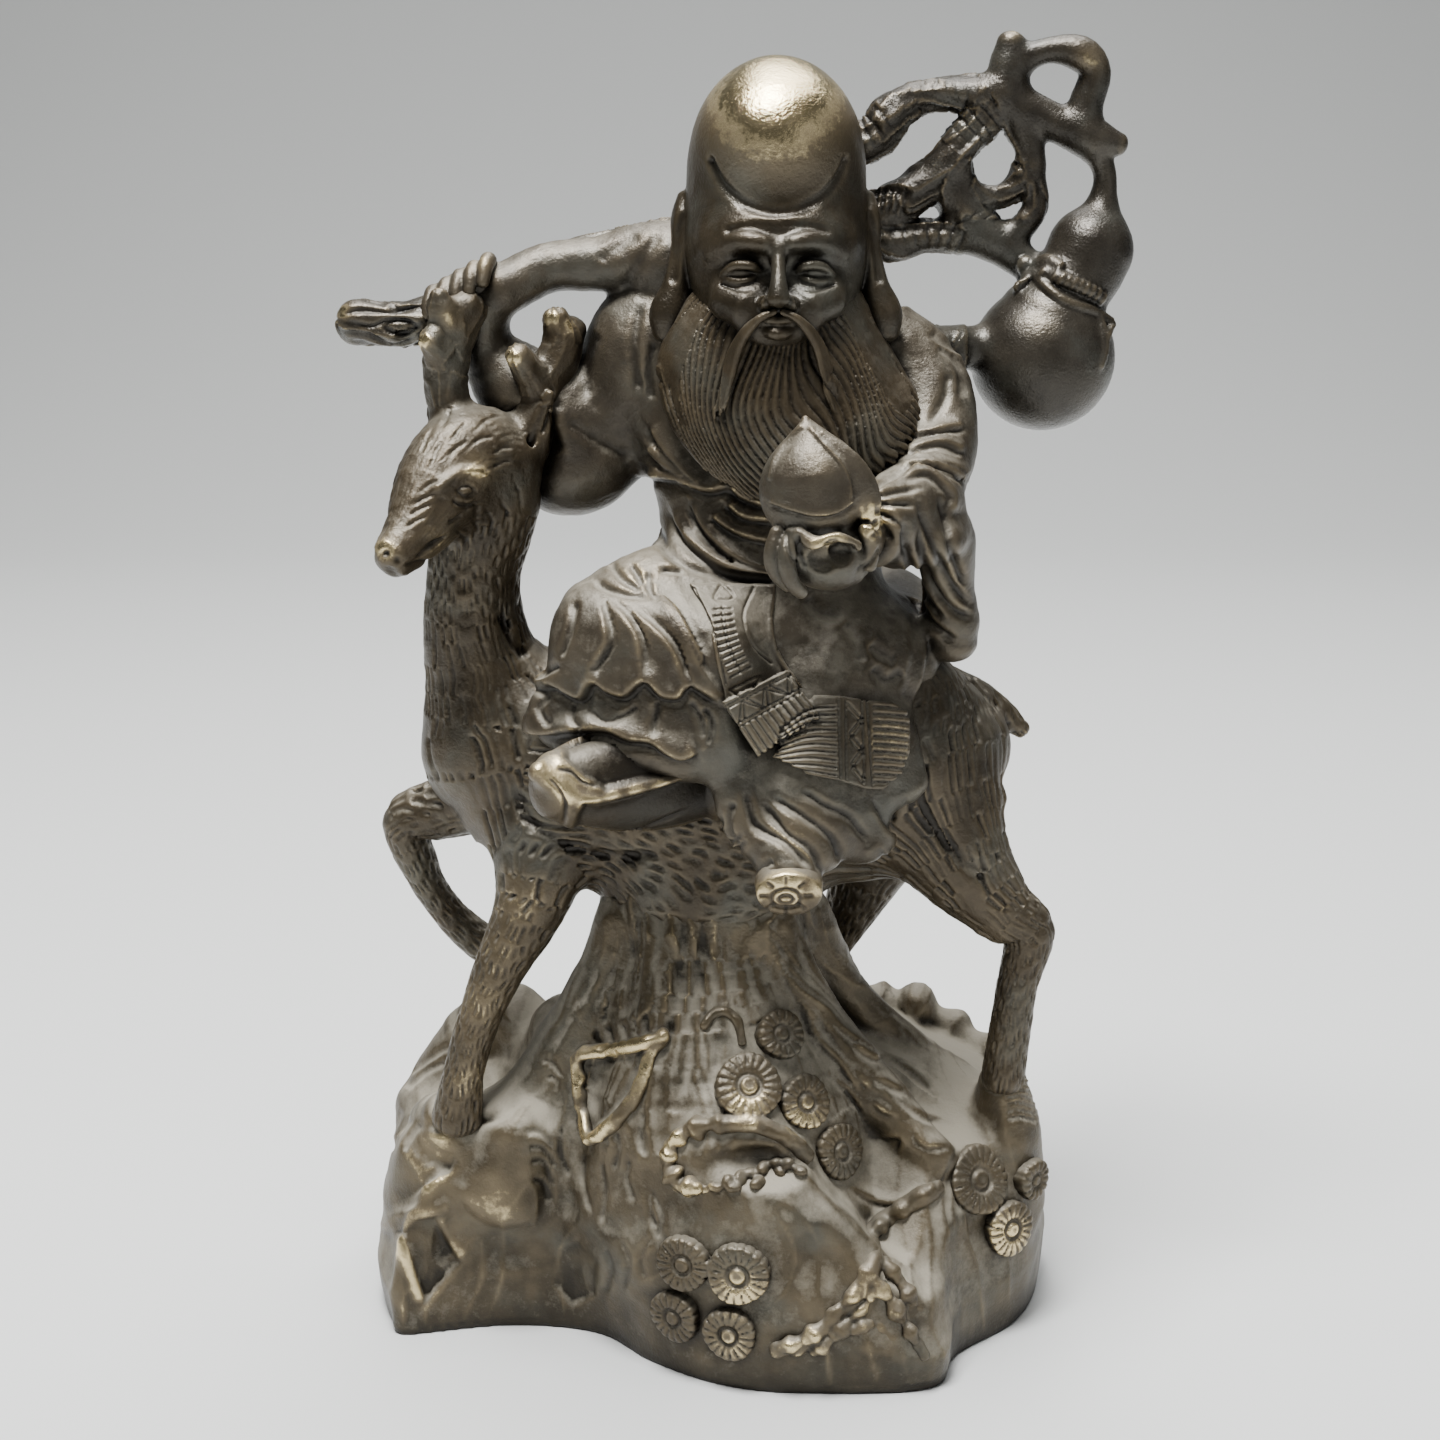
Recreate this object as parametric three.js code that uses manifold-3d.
// An old sage on a deer, cast in bronze in one piece with its rock: a robed elder with a tall bare
// head, a long beard, a peach in one hand and a gnarled staff with a gourd over the shoulders.
// Millimetres, +Z up. The figure faces -Y, and the deer's head points to -X.
// The origin is on the flat underside of the rock.
import * as THREE from "three";
import { LoftGeometry } from "three/addons/geometries/LoftGeometry.js";
import { mergeVertices } from "three/addons/utils/BufferGeometryUtils.js";
import Module from "manifold-3d";

const wasm = await Module();
wasm.setup();

// Driving sizes of the rock.
const rockWidth = 170;
const rockDepth = 108;
const ledgeHeight = 57; // underside to the ledge under the standing forehoof

// Driving sizes of the deer and the rider.
const figureHeight = 263; // ledge to the tip of the staff
const trunkGirth = 1; // thickness of the tree trunk, as a share of its carved thickness

// Bronze, with the dark patina of the whole casting.
const bronze = new THREE.MeshStandardMaterial({ color: 0x4a4335, roughness: 0.45, metalness: 0.85 });

// The lists below give the rock for this width, depth and ledge, and the figure for this height.
const CARVED = { width: 170, depth: 108, ledge: 57, figure: 263 };
const share = {
  x: rockWidth / CARVED.width,
  y: rockDepth / CARVED.depth,
  z: ledgeHeight / CARVED.ledge,
  figure: figureHeight / CARVED.figure,
};

// A point of the figure's lists in the part's frame: the hooves stay on the ledge.
function onFigure([x, y, z]) {
  const s = share.figure;
  return new THREE.Vector3(x * s, y * s, ledgeHeight + (z - CARVED.ledge) * s);
}

// A point of the rock's lists in the part's frame.
function onRock([x, y, z]) {
  return new THREE.Vector3(x * share.x, y * share.y, z * share.z);
}

// A closed geometry as a solid that can be joined and cut.
function solid(geometry) {
  const bare = new THREE.BufferGeometry().copy(geometry);
  bare.deleteAttribute("normal");
  bare.deleteAttribute("uv");
  const merged = mergeVertices(bare, 1e-4);
  const triVerts = new Uint32Array(merged.index.array);
  const vertProperties = new Float32Array(merged.attributes.position.array);
  return new wasm.Manifold(new wasm.Mesh({ numProp: 3, vertProperties, triVerts }));
}

// Rows of numbers on a smooth curve through the given rows, with some steps in each span.
function smoothRows(rows, steps) {
  const out = [];
  for (let i = 0; i + 1 < rows.length; i++) {
    const [b, c] = [rows[i], rows[i + 1]];
    const a = rows[i - 1] ?? b.map((v, n) => 2 * v - c[n]);
    const d = rows[i + 2] ?? c.map((v, n) => 2 * v - b[n]);
    for (let j = 0; j < steps; j++) {
      const t = j / steps;
      out.push(b.map((_, n) => 0.5 * (2 * b[n] + (c[n] - a[n]) * t
        + (2 * a[n] - 5 * b[n] + 4 * c[n] - d[n]) * t * t
        + (3 * b[n] - a[n] - 3 * c[n] + d[n]) * t * t * t)));
    }
  }
  out.push(rows.at(-1));
  return out;
}

// A rounded limb through rows of [x, y, z, half width, half thickness]. The width lies along the
// direction across, the thickness at right angles to it and to the limb. Both ends are domed, by
// a share of the half width there.
function limb(rows, { across = [0, 1, 0], sides = 8, steps = 1, domed = 0.75, at = onFigure } = {}) {
  const line = smoothRows(rows.map((r) => (r.length === 4 ? [...r, r[3]] : r)), steps);
  const centres = line.map((r) => at(r));
  const scale = at === onRock ? share.x : share.figure;
  const side = new THREE.Vector3(...across);
  const sections = [];
  const ring = (centre, tangent, a, b) => {
    const s = side.clone().addScaledVector(tangent, -side.dot(tangent)).normalize();
    const t = new THREE.Vector3().crossVectors(tangent, s);
    const points = [];
    for (let j = 0; j < sides; j++) {
      const angle = (j / sides) * 2 * Math.PI;
      const [u, w] = [a * Math.cos(angle), b * Math.sin(angle)];
      points.push(centre.clone().addScaledVector(s, u).addScaledVector(t, w));
    }
    sections.push(points);
  };
  centres.forEach((centre, i) => {
    const before = centres[Math.max(0, i - 1)];
    const after = centres[Math.min(centres.length - 1, i + 1)];
    const tangent = after.clone().sub(before).normalize();
    const [a, b] = [line[i][3] * scale, line[i][4] * scale];
    const reach = Math.min(a, b);
    const end = (sign) => ring(centre.clone().addScaledVector(tangent, sign * domed * reach), tangent,
      a * 0.55, b * 0.55);
    if (i === 0) end(-1);
    ring(centre, tangent, a, b);
    if (i === centres.length - 1) end(1);
  });
  return solid(new LoftGeometry(sections, { capStart: true, capEnd: true }));
}

// An egg with half sizes [a, b, c], turned by angles in degrees about X, Y and Z.
function egg(centre, sizes, { turn = [0, 0, 0], at = onFigure, wide = 10, high = 7 } = {}) {
  const s = at === onRock ? [share.x, share.y, share.z] : [share.figure, share.figure, share.figure];
  const geometry = new THREE.SphereGeometry(1, wide, high);
  geometry.rotateX(Math.PI / 2);
  geometry.scale(sizes[0] * s[0], sizes[1] * s[1], sizes[2] * s[2]);
  const angles = turn.map((v) => THREE.MathUtils.degToRad(v));
  geometry.applyMatrix4(new THREE.Matrix4().makeRotationFromEuler(new THREE.Euler(...angles, "XYZ")));
  const p = at(centre);
  geometry.translate(p.x, p.y, p.z);
  return solid(geometry);
}

const joined = (solids) => solids.reduce((a, b) => a.add(b));

// Rows with a narrow neck put between each two, so that a limb through them is a row of knobs.
function knobs(rows, neck = 0.6) {
  const out = [];
  rows.forEach((row, i) => {
    const half = (v, n) => (v + rows[i - 1][n]) / 2;
    if (i > 0) out.push(row.map((v, n) => (n < 3 ? half(v, n) : half(v, n) * neck)));
    out.push(row);
  });
  return out;
}

// A sheet of locks or pleats, ridged towards -Y, or towards +Y with out = 1. Each lock bends from
// the first line over the second to the third, and the lines run from the -X side to the +X side.
function ridged({ lines, locks, rise, depth, rows, tipRise = rise, out = -1 }) {
  const smooth = lines.map((line) => smoothRows(line, 2 * locks));
  const sections = [];
  for (let r = 0; r <= rows; r++) {
    const t = r / rows;
    const front = [];
    const back = [];
    for (let i = 0; i <= 2 * locks; i++) {
      const n = Math.round((i / (2 * locks)) * (smooth[0].length - 1));
      const [a, b, c] = smooth.map((line) => new THREE.Vector3(...line[n]));
      const p = a.multiplyScalar((1 - t) ** 2)
        .addScaledVector(b, 2 * t * (1 - t))
        .addScaledVector(c, t * t);
      const crest = i % 2 ? rise + (tipRise - rise) * t : 0;
      front.push(onFigure([p.x, p.y + out * crest, p.z]));
      if (i % locks === 0) back.push(onFigure([p.x, p.y - out * depth, p.z]));
    }
    sections.push(out < 0 ? [...front.reverse(), ...back] : [...front, ...back.reverse()]);
  }
  return solid(new LoftGeometry(sections, { capStart: true, capEnd: true }));
}

// The rock

// The foot of the rock on the floor, seen from above, anticlockwise from its front left corner.
// The third number is the height at which the side turns over into the slope above it.
const FOOT = [
  [-76, -25, 42], [-50, -20, 52], [-28, -24, 56], [-14, -38, 56], [3, -49, 60], [22, -53, 58],
  [54, -51, 30],
  [62, -35, 48], [78, -19, 50], [86, -1, 56], [87, 18, 54], [76, 39, 56], [48, 50, 62], [15, 50, 58],
  [-12, 53, 52], [-45, 50, 56], [-70, 38, 60], [-83, 16, 54], [-85, -2, 44], [-81, -18, 34],
];

// Levels of the side, as shares of the height above, and how far each has drawn in.
const LEVELS = [[0, 0], [0.3, -0.02], [0.75, 0.03], [1, 0.12], [1.16, 0.38]];
const MIDDLE = [4, 4];

function rockBlock() {
  const sections = LEVELS.map(([level, drawn]) => FOOT.map(([x, y, top], i) => {
    const uneven = level === 0 ? 0 : 1.2 * Math.sin(2.1 * i + 5 * level);
    return onRock([
      x + (MIDDLE[0] - x) * drawn + uneven * Math.sign(x),
      y + (MIDDLE[1] - y) * drawn + uneven * Math.sign(y),
      level * top,
    ]);
  }));
  return solid(new LoftGeometry(sections, { capStart: true, capEnd: true }));
}

// The slopes and ledges that carry the hooves.
const LEDGES = [
  [[-70, -6, 30, 14, 14], [-67, -8, 46, 12.5, 12], [-64, -12, 53, 9, 9]],
  [[-66, 20, 40, 17, 18], [-58, 22, 60, 14, 14], [-50, 18, 68, 10, 10]],
  [[-36, 8, 44, 20, 24], [-32, 4, 70, 14, 14]],
  [[74, -6, 30, 14, 12], [75, -8, 50, 12, 10], [75, -10, 62, 8, 6.5]],
  [[44, 6, 30, 30, 26], [38, 4, 56, 22, 18]],
];

function rockLedges() {
  return joined(LEDGES.map((rows) => limb(rows, { at: onRock, sides: 7 })));
}

// The row of rounded lumps on the back edge, with the half width of each.
const LUMPS = [[-50, 40, 58, 7], [-36, 44, 56, 7.5], [-20, 46, 55, 7.5], [-4, 46, 57, 7],
  [10, 45, 59, 7.5],
  [23, 44, 61, 7], [34, 44, 61, 6.5], [45, 45, 60, 6.5], [56, 45, 60, 6.5], [66, 42, 56, 6],
  [74, 36, 51, 6]];

function backLumps() {
  return limb(knobs(LUMPS), { at: onRock, sides: 5 });
}

// The trunk under the belly, which spreads into roots.
const TRUNK = [[6, -8, 36, 44, 38], [3, -8, 62, 37, 31], [1, -6, 79, 30, 25], [0, -3, 95, 26.5, 19.5],
  [0, -1, 110, 27, 19], [1, 1, 120, 28, 19]];

function trunk() {
  const rows = TRUNK.map(([x, y, z, a, b]) => [x, y, z, a * trunkGirth, b * trunkGirth]);
  return limb(rows, { across: [1, 0, 0], sides: 10 });
}

// Roots and bark ridges running down the trunk.
const ROOTS = [
  [[-27, -8, 88, 6], [-31, -9, 74, 8], [-34, -10, 60, 9], [-38, -12, 46, 7]],
  [[-22, -8, 106, 5], [-29, -8, 86, 6], [-42, -8, 66, 6], [-56, -10, 54, 5]],
  [[-10, -17, 104, 5], [-14, -23, 80, 6], [-22, -26, 54, 6], [-26, -24, 34, 5]],
  [[16, -14, 106, 5], [28, -16, 82, 6], [44, -20, 62, 6], [56, -26, 50, 5]],
  [[25, -2, 106, 5], [34, 2, 84, 6], [50, 6, 66, 6], [64, 10, 56, 5]],
];

function roots() {
  return joined(ROOTS.map((rows) => limb(rows, { sides: 4 })));
}

// The raised rims round two of the hollows, and the knotty branches below them.
const FRAME_RIM = [[-32, -15, 75, 2.2], [-21, -19, 78, 2.2], [-10, -23, 81, 1.8], [-14, -23, 70, 2.2],
  [-21, -23, 60, 2.4], [-28, -21, 54, 2.2], [-32, -16, 63, 2.2]];
const OVAL_RIM = [[-11, -41, 55, 3], [-7, -39, 62, 2.6], [3, -38, 65, 2.2], [18, -38, 64, 2.2],
  [33, -38, 60, 2.2],
  [36, -41, 54, 2.6], [27, -45, 52, 2.6], [14, -46, 50, 2.6], [2, -46, 50, 2.6], [-6, -45, 49, 3]];
const BRANCHES = [
  [[12, -51, 11, 4], [19, -52, 15, 4.4], [26, -53, 20, 4.6], [33, -52, 25, 4.6], [38, -50, 32, 4],
    [39, -47, 39, 4],
    [46, -42, 43, 4], [54, -37, 46, 4]],
  [[42, -50, 27, 4], [48, -50, 21, 4.4], [53, -48, 14, 4.4]],
];

function rims() {
  const loop = (points) => limb([...points, points[0]], { at: onRock, sides: 4 });
  const branches = BRANCHES.map((rows) => limb(knobs(rows), { at: onRock, sides: 4 }));
  return joined([loop(FRAME_RIM), loop(OVAL_RIM), ...branches]);
}

// Flower-like pine tufts: centre, radius and the way each one faces, as a slope and a bearing.
const TUFTS = [
  [[18, -31, 83], 6.2, 20, 20], [[10, -36, 74], 7.6, 15, -10], [[23, -37, 70], 6.4, 20, 15],
    [[33, -39, 58], 6.4, 20, 20],
  [[-6, -44, 31], 6.4, 15, -20], [[7, -51, 30], 7, 15, 0], [[-5, -45, 17], 6.6, 5, -25],
    [[7, -52.5, 16], 6.4, 5, 0],
  [[66, -33, 47], 8, 30, 25], [[82, -17, 42], 5.6, 20, 50], [[75, -27, 35], 6.6, 20, 35],
];
const PETALS = 8;

function tuft(centre, radius, slope, bearing) {
  const rim = (out, r) => {
    const points = [];
    for (let i = 0; i < 2 * PETALS; i++) {
      const angle = (i / (2 * PETALS)) * 2 * Math.PI;
      const reach = r * (i % 2 ? 0.88 : 1);
      points.push(new THREE.Vector3(reach * Math.cos(angle), reach * Math.sin(angle), out));
    }
    return points;
  };
  const rims = [rim(-8, radius * 0.6), rim(4.6, radius)];
  const disc = new LoftGeometry(rims, { capStart: true, capEnd: true });
  const boss = new THREE.CylinderGeometry(radius * 0.3, radius * 0.42, 3.2, 5)
    .rotateX(Math.PI / 2)
    .translate(0, 0, 4.4);
  const [lean, turn] = [90 - slope, bearing].map((v) => THREE.MathUtils.degToRad(v));
  const facing = new THREE.Euler(lean, 0, turn, "ZYX");
  const p = onRock(centre);
  const placed = new THREE.Matrix4().makeRotationFromEuler(facing).setPosition(p.x, p.y, p.z);
  return solid(disc.applyMatrix4(placed)).add(solid(boss.applyMatrix4(placed)));
}

// The hollows: the framed one, the long oval one, the dish below it, and those in the front corners.
const HOLLOWS = [
  [[-22, -26, 67], [6.5, 7, 7], 0], [[12, -47, 57], [17, 8, 5.5], 0], [[27, -62, 37], [12, 12, 13], 0],
  [[-66, -30, 26], [5, 9, 13], 12], [[58, -52, 34], [10, 12, 12], 0],
];

function hollows() {
  return joined(HOLLOWS.map(([centre, sizes, lean]) =>
    egg(centre, sizes, { at: onRock, turn: [0, lean, 0], wide: 8, high: 5 })));
}

// The deer

const DEER_BODY = [[-55, 4, 151, 17, 21], [-44, 4, 146, 21, 28], [-26, 4, 141, 24, 30],
  [8, 4, 140, 24, 29.5],
  [42, 4, 144, 24, 30], [58, 4, 148, 20, 24], [64, 4, 152, 12, 14]];
const DEER_NECK = [[-50, 3, 154, 17, 20], [-56, 0, 172, 12.5, 14], [-57, -2, 190, 11, 11.5],
  [-53, -4, 210, 10.5, 12]];
const DEER_HEAD = [[-50, -2, 219, 12, 13], [-57, -8, 220, 12, 14], [-63, -16, 215, 10.5, 12],
  [-68, -25, 207, 7, 8],
  [-72, -31, 202.5, 5, 5.5]];
const NEAR_FORELEG = [[-40, -8, 128, 11, 14], [-44, -13, 111, 8, 9], [-53, -16, 93, 5.6, 6.2],
  [-60, -18, 73, 4.8, 5], [-63, -18, 57, 6, 6.5]];
const FAR_FORELEG = [[-52, 16, 134, 10, 12], [-68, 19, 127, 7.5, 8.5], [-78, 21, 122, 7, 6.5],
  [-74, 22, 107, 5, 4.6], [-68, 24, 96, 4.6, 4.4],
  [-61, 26, 88, 5.4, 5], [-53, 27, 82, 5, 4]];
const NEAR_HINDLEG = [[52, -4, 142, 15, 20], [62, -10, 123, 11, 13.5], [72, -12, 111, 7.5, 9],
  [79.5, -12, 104, 6, 6.6], [77, -13, 90, 5, 5.2],
  [74, -14, 66, 5.6, 5.6]];
const FAR_HINDLEG = [[48, 16, 138, 13, 18], [44, 21, 116, 9, 12], [37, 24, 97, 6.5, 7],
  [29, 26, 80, 5.5, 5.5], [25, 27, 54, 6, 6]];
const TAIL = [[60, 5, 163, 5, 4], [68, 8, 160, 4, 3.4], [75, 10, 154, 3.4, 3.2],
  [79, 11, 150, 2.4, 2.4]];
const LEFT_ANTLER = [[[-60, -4, 228, 5.5], [-62, -5, 241, 5], [-60, -3, 251, 5.4], [-57, -2, 262, 5]],
  [[-61, -5, 243, 4.5], [-64.5, -10, 250, 3]], [[-60, -4, 250, 4.5], [-62, -8, 257, 3.6],
    [-62.5, -9, 260, 2]]];
const RIGHT_ANTLER = [[[-43, -3, 224, 5.5], [-40, 0, 236, 5], [-35, 2, 246, 4.8], [-36, 1, 254, 3]],
  [[-40, -1, 237, 4.4], [-44.5, -7, 246, 3]], [[-36, 2, 244, 4], [-32, 5, 251, 3]]];
const DEER_EARS = [[[-45, 5, 222, 4, 2.5], [-40, 8, 230, 4.6, 2], [-36, 9, 239, 2, 1.2]],
  [[-60, 4, 224, 4, 2.5], [-64, 8, 229, 4.2, 2], [-66, 11, 234, 2, 1.2]]];
const DEER_EYES = [[-52.5, -17.5, 222.5], [-66, -6, 221]];

function deer() {
  const legs = [NEAR_FORELEG, FAR_FORELEG, NEAR_HINDLEG, FAR_HINDLEG].map((rows) => limb(rows, { sides: 6 }));
  const tines = [...LEFT_ANTLER, ...RIGHT_ANTLER].map((rows) => limb(rows, { sides: 5 }));
  const ears = DEER_EARS.map((rows) => limb(rows, { across: [1, 0.4, 0], sides: 4 }));
  const eyes = DEER_EYES.map((p) => egg(p, [2.4, 2, 1.6], { wide: 5, high: 3 }));
  return joined([
    limb(DEER_BODY, { sides: 12 }),
    limb(DEER_NECK, { sides: 10 }),
    limb(DEER_HEAD, { across: [0.8, -0.6, 0], sides: 8 }),
    limb(TAIL, { sides: 5 }),
    egg([-57, 5, 166], [4, 8, 20], { turn: [0, -8, 0], wide: 6, high: 5 }),
    ...legs, ...tines, ...ears, ...eyes,
  ]);
}

// The rider

const TORSO = [[16, 3, 258, 15, 14], [16, 5, 248, 29, 18], [17, 3, 234, 33, 21],
  [17, 1, 217, 32, 22], [15, 0, 200, 27, 22],
  [13, 2, 184, 33, 25], [12, 5, 168, 34, 26]];
const RIGHT_THIGH = [[10, -8, 182, 20, 18], [-10, -15, 185, 15, 17], [-23, -20, 180, 13, 15.5]];
const LEFT_THIGH = [[12, -4, 178, 22, 20], [36, -7, 174, 21, 18], [47, -2, 172, 17, 15]];
const LEFT_SHIN = [[26, -18, 168, 15, 13], [22, -27, 152, 13, 12], [20, -34, 140, 10.5, 10],
  [19, -42, 130, 8, 7.5]];
const LAP = { centre: [-8, -14, 166], sizes: [25, 17, 16] };
const UPPER_ARM = [[2, 8, 263, 12, 14], [-14, 8, 267, 9, 9], [-26, 8, 266, 7, 6.5],
  [-38, 7, 265, 6.2, 6], [-49, 3, 260, 6.5, 6]];
const SLEEVE_BAG = [[-53, 3, 257, 6, 6], [-53, 6, 247, 7, 6.5], [-47, 8, 238, 12, 10.5],
  [-36, 10, 228, 15, 15], [-31, 10, 217, 14.5, 15.5]];
const SHOULDER_BACK = { centre: [-12, 9, 240], sizes: [19, 15, 23] };
const SLEEVE_MOUTH = { centre: [-42, -2, 222], sizes: [9, 8, 11] };
const LEFT_ARM = [[41, 4, 248, 11, 11], [50, 0, 239, 10.5, 12], [53, -8, 226, 10.5, 11],
  [49, -22, 216, 10, 9.5], [40, -36, 211, 7.5, 8],
  [33, -44, 209, 6.5, 6.5]];
const LEFT_SLEEVE = [[50, -26, 214, 7, 8], [55, -19, 204, 8, 6], [58, -14, 192, 8, 4.6],
  [61, -11, 179, 7, 3.6]];

function body() {
  const wide = { across: [1, 0, 0] };
  return joined([
    limb(TORSO, { ...wide, sides: 12 }),
    limb(RIGHT_THIGH, { sides: 8 }),
    egg(LAP.centre, LAP.sizes, { wide: 9, high: 6 }),
    limb(LEFT_THIGH, { sides: 8 }),
    limb(LEFT_SHIN, { ...wide, sides: 8 }),
    limb(UPPER_ARM, { sides: 7 }),
    limb(SLEEVE_BAG, { sides: 9 }),
    egg(SHOULDER_BACK.centre, SHOULDER_BACK.sizes, { wide: 9, high: 6 }),
    limb(LEFT_ARM, { sides: 7 }),
    limb(LEFT_SLEEVE, { sides: 5 }),
  ]).subtract(egg(SLEEVE_MOUTH.centre, SLEEVE_MOUTH.sizes, { wide: 8, high: 6 }));
}

// Single folds of the robe, and its pleated hems: two over the bent leg and one behind, over the deer.
const FOLDS = [
  [[10, -28, 158, 6, 5], [14, -36, 144, 6, 4.5], [10, -40, 132, 4, 3]],
  [[30, -28, 158, 7, 5], [36, -32, 142, 7, 4.5], [38, -33, 130, 6, 4]],
  [[40, -20, 160, 6, 5], [47, -25, 147, 5, 4], [49, -24, 140, 5, 4]],
  [[-8, -13, 228, 3, 3], [2, -23, 214, 3, 3], [14, -28, 207, 3, 3]],
  [[-9, -13, 217, 3, 3], [-1, -20, 204, 3, 3], [12, -26, 196, 3, 3], [28, -26, 195, 3, 3],
    [42, -20, 199, 3, 3]],
  [[51, -12, 232, 3, 3], [57, -14, 216, 3.4, 3], [59, -13, 200, 3.4, 3]],
  [[-4, 22, 246, 3, 3], [1, 23, 222, 3.4, 3.4], [0, 24, 192, 3, 3]],
  [[14, 25, 250, 3, 3], [17, 24, 222, 3.4, 3.4], [14, 27, 192, 3, 3]],
  [[34, 20, 246, 3, 3], [33, 21, 222, 3.4, 3.4], [28, 25, 192, 3, 3]],
];
const HEMS = [
  { lines: [[[-33, -22, 189], [-14, -30, 195], [3, -28, 192]], [[-38, -32, 178], [-16, -38, 180],
    [2, -37, 179]],
    [[-42, -28, 167], [-18, -42, 165], [5, -42, 166]]], locks: 5, rise: 2.4, depth: 9, rows: 3 },
  { lines: [[[-38, -22, 169], [-16, -34, 168], [4, -34, 168]], [[-44, -26, 163], [-18, -39, 160],
    [3, -41, 159]],
    [[-46, -22, 157], [-19, -38, 155], [2, -42, 156]]], locks: 6, rise: 2.4, depth: 10, rows: 2 },
  { lines: [[[-16, 18, 192], [12, 25, 194], [40, 18, 190]], [[-24, 25, 174], [12, 31, 174],
    [45, 24, 172]],
    [[-30, 25, 158], [12, 31, 154], [48, 24, 158]]], locks: 6, rise: 2.2, depth: 12, rows: 3, out: 1 },
];

function folds() {
  return joined([...FOLDS.map((rows) => limb(rows, { sides: 4 })), ...HEMS.map(ridged)]);
}

// The sash hangs from the lap to its ribbed end, and the end of a second one fans out beside it.
const SASH = [[9, -27, 191, 6, 2.4], [11, -33, 178, 6.5, 2.6], [14, -38, 167, 6.5, 2.6]];
const SASH_ENDS = [
  { lines: [[[4, -38, 167], [15, -41, 170], [23, -38, 171]], [[8, -41, 160], [18, -43, 163],
    [26, -40, 164]],
    [[12, -43, 152], [22, -45, 156], [30, -42, 159]]], locks: 5, rise: 1.4, depth: 6, rows: 1 },
  { lines: [[[16, -32, 166], [31, -35, 168], [46, -31, 167]], [[18, -37, 157], [32, -38, 157],
    [47, -34, 156]],
    [[18, -37, 148], [32, -39, 145], [47, -35, 146]]], locks: 7, rise: 1.4, depth: 8, rows: 2 },
];

function sashes() {
  return joined([limb(SASH, { across: [1, 0, 0], sides: 5 }), ...SASH_ENDS.map(ridged)]);
}

// The shoes: the right one seen from its side, the left one with its sole to the front.
const RIGHT_SHOE = [[-1, -18, 143, 9, 9], [-17, -30, 144, 9, 9], [-29, -39, 147, 7.5, 8.5],
  [-34, -43, 151, 5.5, 6.5]];
const LEFT_SOLE = [[19, -44, 128, 8, 6], [19, -49.5, 127, 7.6, 5.6]];

// The head

const SKULL = [[16, -19, 250, 12, 11], [16, -15, 257, 18, 16.5], [16, -9, 267, 21.5, 21],
  [16, -6, 278, 21.5, 23], [16, -7, 291, 19, 21.5],
  [16, -7, 302, 15.3, 17], [16, -7, 308, 10.5, 12]];
const FOREHEAD = { centre: [16, -20.5, 293], sizes: [15.5, 10, 16] };
const BROW = [[1, -24, 268, 2], [8, -30, 272.5, 2.2], [16, -29.5, 271, 2], [24, -30, 272.5, 2.2],
  [31, -24, 268, 2]];
const NOSE = [[16, -29.5, 269, 1.8, 2], [16, -33, 264, 2.2, 2.4], [16, -34.5, 261, 3.4, 2.6]];
const EYE = [8.5, -27, 267];
const CHEEK = [6.5, -26, 260.5];
const MOUSTACHE = [[15, -33.5, 256.5, 2], [9, -32.5, 253.5, 2.2], [4, -31, 247, 2],
  [1, -29.5, 239, 1.4]];
const RIGHT_EAR = [[-6, -3, 278, 2.6, 4], [-7.5, -4, 268, 3, 4.4], [-8.5, -6, 259, 3, 3.4],
  [-8.5, -8, 253.5, 3.6, 3.6]];

function head() {
  const middle = 16;
  const wide = { across: [1, 0, 0] };
  const pair = (make) => [make((p) => p), make((p) => [2 * middle - p[0], ...p.slice(1)])];
  return joined([
    limb(SKULL, { ...wide, sides: 14, domed: 0.4 }),
    egg(FOREHEAD.centre, FOREHEAD.sizes, { wide: 12, high: 8 }),
    limb(BROW, { sides: 4 }),
    limb(NOSE, { ...wide, sides: 6 }),
    ...pair((side) => egg(side(EYE), [4.2, 3, 2.4], { wide: 5, high: 3 })),
    ...pair((side) => egg(side(CHEEK), [6.5, 6, 5.5], { wide: 5, high: 4 })),
    ...pair((side) => limb(MOUSTACHE.map(side), { sides: 4 })),
    ...pair((side) => limb(RIGHT_EAR.map(side), { ...wide, sides: 5 })),
  ]);
}

// The beard is one fan of locks from the jaw, from the rider's right cheek to the left one.
const BEARD = {
  lines: [
    [[-5, -12, 262], [1, -22, 254], [16, -27, 249], [31, -22, 254], [37, -12, 262]],
    [[-15, -16, 238], [-4, -27, 234], [17, -32, 230], [38, -30, 236], [50, -18, 246]],
    [[-4, -24, 217], [6, -30, 209], [24, -33, 204], [44, -30, 215], [60, -19, 228]],
  ],
  locks: 12,
  rise: 2.2, // a lock's crest above the groove beside it
  tipRise: 1.2,
  depth: 9,
  rows: 5,
};

// The hands and the peach

const PEACH = [24.5, -49, 221];
const HANDS = [
  [[-47, 2, 260, 6], [-55, 0, 261, 6.5], [-60, 0, 258, 5]],
  [[38, -41, 210, 7], [29, -46, 209, 8.5], [20, -50, 210, 7]],
];
const FINGERS = [
  [[-52, -3, 267, 2.8], [-56, -4, 265, 2.8], [-60, -4, 262, 2.8], [-63, -3, 258, 2.4]],
  [[16, -54, 205, 3], [21, -54, 204, 3.2], [26, -53, 203, 3.2], [31, -51, 203, 3]],
];
const PEACH_TIP = [[24, -49, 228, 8], [22, -49, 234, 3.6], [21, -49, 236.5, 1]];
const PEACH_LEAF = [[34, -52, 214, 4, 2], [36, -50, 224, 5, 2], [30, -50, 233, 2, 1.2]];

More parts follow.
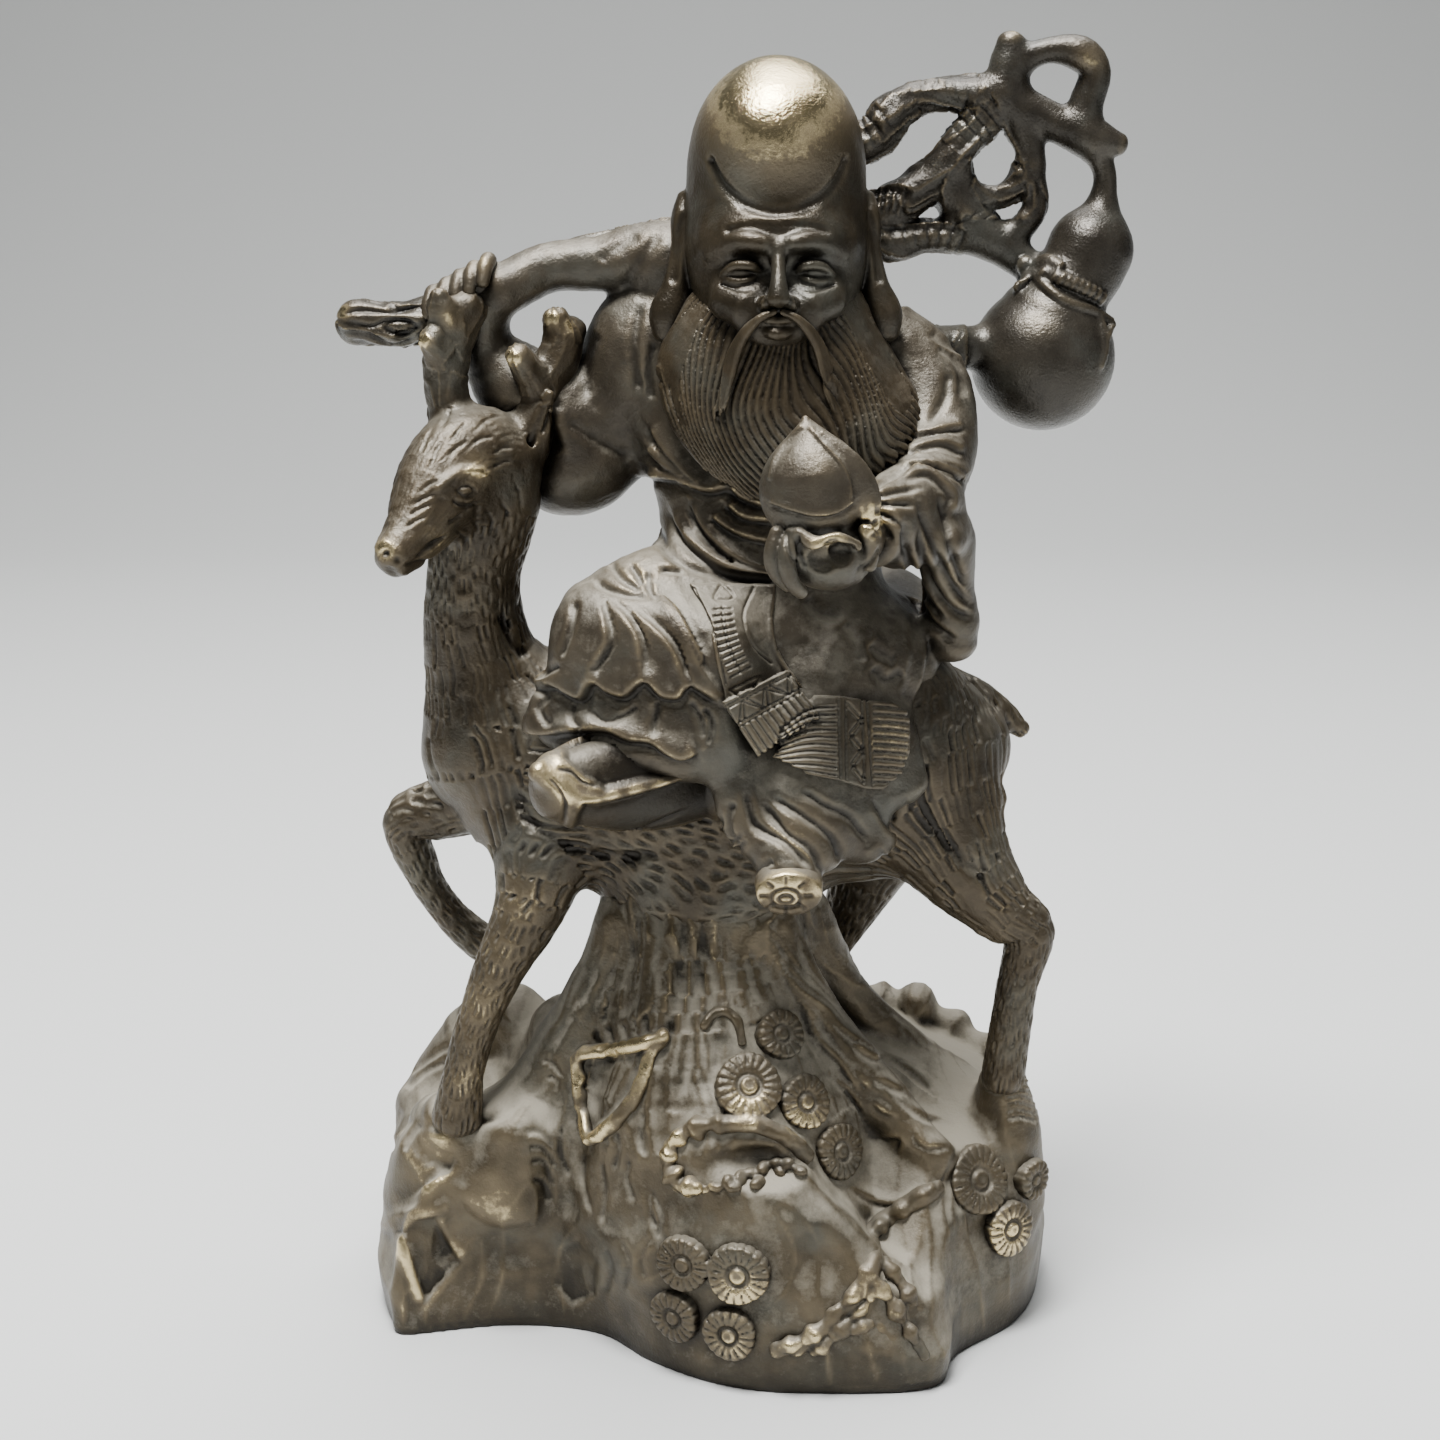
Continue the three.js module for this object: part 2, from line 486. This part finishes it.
function handsAndPeach() {
  return joined([
    ...HANDS.map((rows) => limb(rows, { sides: 6 })),
    ...FINGERS.map((rows) => limb(knobs(rows, 0.75), { sides: 5 })),
    egg(PEACH, [12.5, 11, 12], { wide: 10, high: 7 }),
    limb(PEACH_TIP, { sides: 6 }),
    limb(PEACH_LEAF, { sides: 4 }),
  ]);
}

// The staff and the gourd

const STAFF = [
  [[-83.5, 0, 253, 5], [-75, 0, 252, 5.4], [-65, 1, 254, 5], [-48, 7, 260, 4.4], [-24, 14, 269, 4.4],
    [24, 23, 276, 5],
    [42, 20, 278, 5.6], [52, 18, 284, 4.8], [61, 18, 291, 5.4]],
  [[24, 18, 292, 4], [38, 16, 294, 5], [45, 17, 301, 5], [54, 18, 305, 3.6], [70, 18, 306, 5.4],
    [72, 18, 317, 3.4]],
];
const TWIGS = [
  [[71, 18, 311, 4], [80, 17, 315, 3], [88, 16, 314.5, 4.2], [92, 16, 310, 3.8], [90, 16, 302, 4.2],
    [91, 15, 296, 4.6],
    [98, 14, 293.5, 2.8]],
  [[70, 18, 305, 5], [78, 17, 301, 4.4], [92, 15, 294, 4.6]],
  [[70, 18, 305, 5], [62, 18, 293, 5.4], [59, 18, 283, 5.2], [67, 18, 272.5, 4.8], [79, 16, 264, 4]],
  [[74, 17, 301, 4], [77.5, 17, 289, 3.4], [70, 18, 281.5, 3.2], [61, 18, 285, 3.6]],
  [[77, 17, 288, 3.4], [79, 17, 279, 3.2], [73, 17, 271, 3.8]],
  [[36, 20, 272, 5], [44, 19, 270, 4.6], [54, 18, 272, 3.8], [68, 18, 271, 4.4]],
];
const GOURD = [[92, 15, 294, 3.6], [94.5, 15, 283, 4], [94, 15, 277, 8], [92.5, 14.5, 269, 10.4],
  [89, 13.5, 261, 8.6],
  [84, 12, 252, 14], [81.5, 12, 244, 17.6], [79, 11, 235, 13.5]];
const GOURD_BRIDGE = [[70, 10, 246, 5], [58, 6, 246, 5]];
const RIBBON = [[77, 8, 264, 2.4], [83, 3, 261.5, 2.4], [91, 4, 257.5, 2.4], [98, 12, 254, 2.4]];
const RIBBON_TAILS = [[[78, 6, 263, 3, 2], [75, 2, 257, 3, 1.5]], [[97, 8, 254, 2.4, 2],
  [99, 6, 247, 3, 1.6]]];

function staffAndGourd() {
  return joined([
    ...STAFF.map((rows) => limb(rows, { sides: 6 })),
    ...TWIGS.map((rows) => limb(rows, { sides: 5 })),
    limb(GOURD, { sides: 12 }),
    limb(GOURD_BRIDGE, { sides: 5 }),
    limb(RIBBON, { sides: 4 }),
    ...RIBBON_TAILS.map((rows) => limb(rows, { sides: 4, across: [1, 0, 0] })),
  ]);
}

// Everything is one casting. The floor cuts it flat underneath.
function casting() {
  const rock = joined([rockBlock(), rockLedges(), backLumps(), trunk(), roots()])
    .subtract(hollows())
    .add(rims())
    .add(joined(TUFTS.map((row) => tuft(...row))));
  const rider = joined([
    body(), folds(), sashes(), head(), ridged(BEARD), handsAndPeach(),
    limb(RIGHT_SHOE, { sides: 8, across: [0, 0, 1] }),
    limb(LEFT_SOLE, { sides: 10, across: [1, 0, 0] }),
  ]);
  const whole = joined([rock, deer(), rider, staffAndGourd()]);
  const span = 4 * (rockWidth + figureHeight);
  const under = new THREE.BoxGeometry(span, span, span).translate(0, 0, -span / 2);
  return whole.subtract(solid(under));
}

// The joined solid has many slivers where its surfaces cross. A corner is drawn into one of its
// neighbours where that moves no face round it by more than this many millimetres.
const SPARE = 0.3;
const TURN = 0.6; // least cosine between a face before and after

function thinned({ vertProperties, triVerts }) {
  const points = [];
  for (let i = 0; i < vertProperties.length; i += 3)
    points.push(new THREE.Vector3().fromArray(vertProperties, i));
  const faces = [];
  const around = points.map(() => new Set());
  for (let i = 0; i < triVerts.length; i += 3) {
    const face = [...triVerts.subarray(i, i + 3)];
    face.forEach((corner) => around[corner].add(faces.length));
    faces.push(face);
  }
  const square = ([a, b, c]) => new THREE.Vector3().crossVectors(
    points[b].clone().sub(points[a]), points[c].clone().sub(points[a]));
  const neighbours = (corner) => {
    const found = new Set([...around[corner]].flatMap((f) => faces[f]));
    found.delete(corner);
    return found;
  };
  const spare = (from, to) => {
    if (points[from].z < SPARE !== points[to].z < SPARE) return false;
    const near = neighbours(to);
    if ([...neighbours(from)].filter((corner) => near.has(corner)).length !== 2) return false;
    const step = points[to].clone().sub(points[from]);
    for (const f of around[from]) {
      if (faces[f].includes(to)) continue;
      const before = square(faces[f]);
      const after = square(faces[f].map((corner) => (corner === from ? to : corner)));
      if (after.length() < 0.02) return false;
      if (before.length() < 0.02) continue;
      before.normalize();
      after.normalize();
      if (before.dot(after) < TURN) return false;
      if (Math.max(Math.abs(before.dot(step)), Math.abs(after.dot(step))) > SPARE) return false;
    }
    return true;
  };
  for (let pass = 0; pass < 3; pass++) {
    const edges = new Map();
    for (const f of new Set(around.flatMap((set) => [...set])))
      faces[f].forEach((a, i) => {
        const b = faces[f][(i + 1) % 3];
        if (a < b) edges.set(`${a} ${b}`, [a, b, points[a].distanceTo(points[b])]);
      });
    for (const [a, b] of [...edges.values()].sort((e, f) => e[2] - f[2])) {
      if (!neighbours(a).has(b)) continue;
      const [from, to] = spare(a, b) ? [a, b] : [b, a];
      if (from === b && !spare(b, a)) continue;
      for (const f of around[from]) {
        if (faces[f].includes(to)) {
          faces[f].forEach((corner) => corner !== from && around[corner].delete(f));
          continue;
        }
        faces[f] = faces[f].map((corner) => (corner === from ? to : corner));
        around[to].add(f);
      }
      around[from].clear();
    }
  }
  const kept = [...new Set(around.flatMap((set) => [...set]))].flatMap((f) => faces[f]);
  const geometry = new THREE.BufferGeometry().setFromPoints(points);
  geometry.setIndex(kept);
  return mergeVertices(geometry, 1e-4);
}

const part = new THREE.Group();
const sage = new THREE.Mesh(thinned(casting().getMesh()), bronze);
sage.name = "sage_on_deer";
part.add(sage);

export default part;
